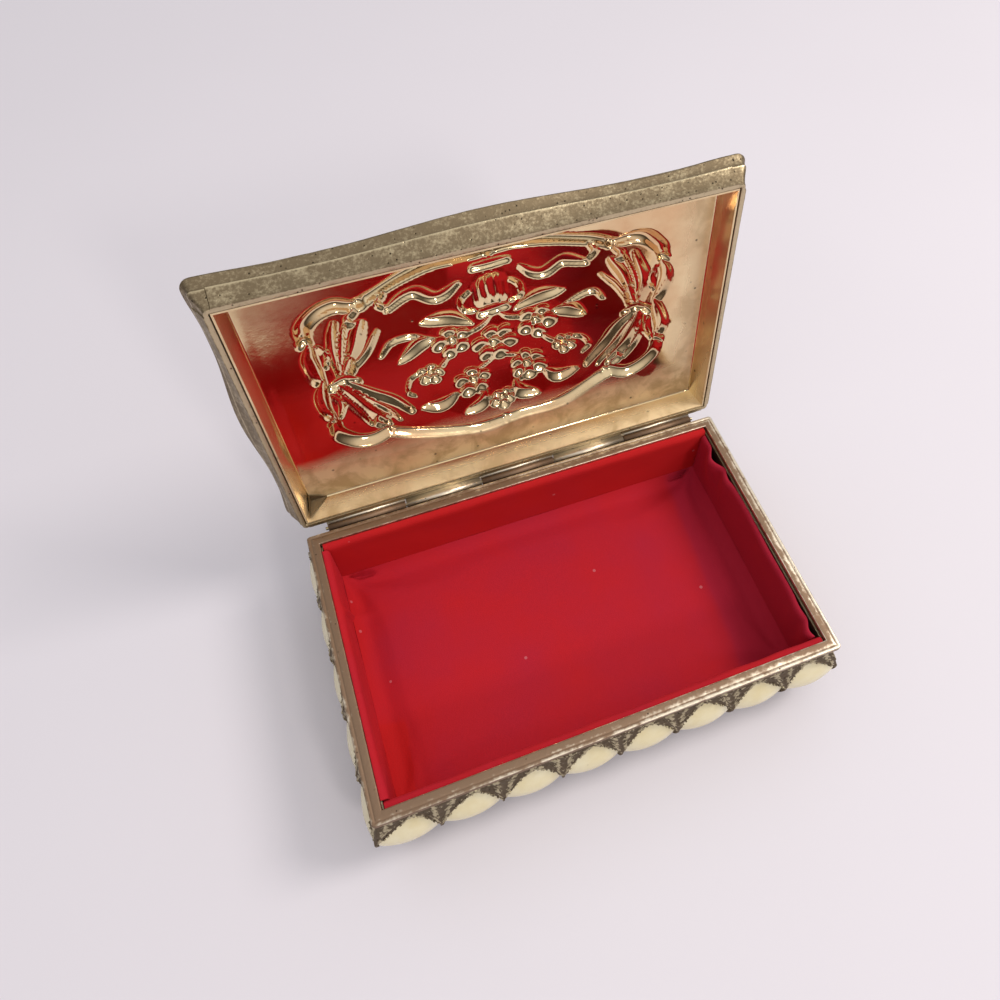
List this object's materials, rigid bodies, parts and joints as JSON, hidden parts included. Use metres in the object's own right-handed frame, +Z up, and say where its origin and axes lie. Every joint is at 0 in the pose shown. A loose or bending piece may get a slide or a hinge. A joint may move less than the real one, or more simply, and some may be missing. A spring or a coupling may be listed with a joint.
{
  "type": "footed trinket box",
  "caption": "Small footed box with bulging enamelled scallops round its walls, a red padded lining and a hinged lid with an embossed sheet panel.",
  "frame": {"origin": "middle of the whole object's box on the plane that the feet stand on, with the lid open at rest", "axes": "+X along the hinge to the right as seen from the front, +Y from the front to the hinge, +Z up"},
  "size_m": [0.1284, 0.0996, 0.1074],
  "materials": {
    "tarnished_cast_metal": "cast, plated and tarnished to a dull grey gold with rubbed high spots",
    "polished_brass_sheet": "thin pressed sheet, polished, with fine pits",
    "cream_enamel": "opaque cream enamel, glossy, slightly mottled",
    "red_velvet": "short red velvet pile over card",
    "plated_wire": "drawn wire, plated"
  },
  "bodies": {
    "case": {"scalloped_wall": "tarnished_cast_metal", "rim_frame": "tarnished_cast_metal", "bottom_plate": "tarnished_cast_metal", "foot_front_left": "tarnished_cast_metal", "foot_front_right": "tarnished_cast_metal", "foot_rear_left": "tarnished_cast_metal", "foot_rear_right": "tarnished_cast_metal", "hinge_leaf_case": "tarnished_cast_metal", "lining_floor": "red_velvet", "lining_front": "red_velvet", "lining_back": "red_velvet", "lining_left": "red_velvet", "lining_right": "red_velvet", "enamel_front_1": "cream_enamel", "enamel_front_2": "cream_enamel", "enamel_front_3": "cream_enamel", "enamel_front_4": "cream_enamel", "enamel_front_5": "cream_enamel", "enamel_front_6": "cream_enamel", "enamel_front_7": "cream_enamel", "enamel_front_8": "cream_enamel", "enamel_right_1": "cream_enamel", "enamel_right_2": "cream_enamel", "enamel_right_3": "cream_enamel", "enamel_right_4": "cream_enamel", "enamel_right_5": "cream_enamel", "enamel_back_1": "cream_enamel", "enamel_back_2": "cream_enamel", "enamel_back_3": "cream_enamel", "enamel_back_4": "cream_enamel", "enamel_back_5": "cream_enamel", "enamel_back_6": "cream_enamel", "enamel_back_7": "cream_enamel", "enamel_back_8": "cream_enamel", "enamel_left_1": "cream_enamel", "enamel_left_2": "cream_enamel", "enamel_left_3": "cream_enamel", "enamel_left_4": "cream_enamel", "enamel_left_5": "cream_enamel", "hinge_pin": "plated_wire"},
    "lid": {"hinge_leaf_lid": "tarnished_cast_metal", "lid_border": "tarnished_cast_metal", "lid_panel": "polished_brass_sheet", "lid_corner_tab": "tarnished_cast_metal"}
  },
  "joints": [
    {"name": "lid_hinge", "type": "hinge", "parent": "case", "child": "lid", "pos_m": [0, 0.0306, 0.0281], "axis": [1, 0, 0], "range_deg": [0, 97.2]}
  ]
}
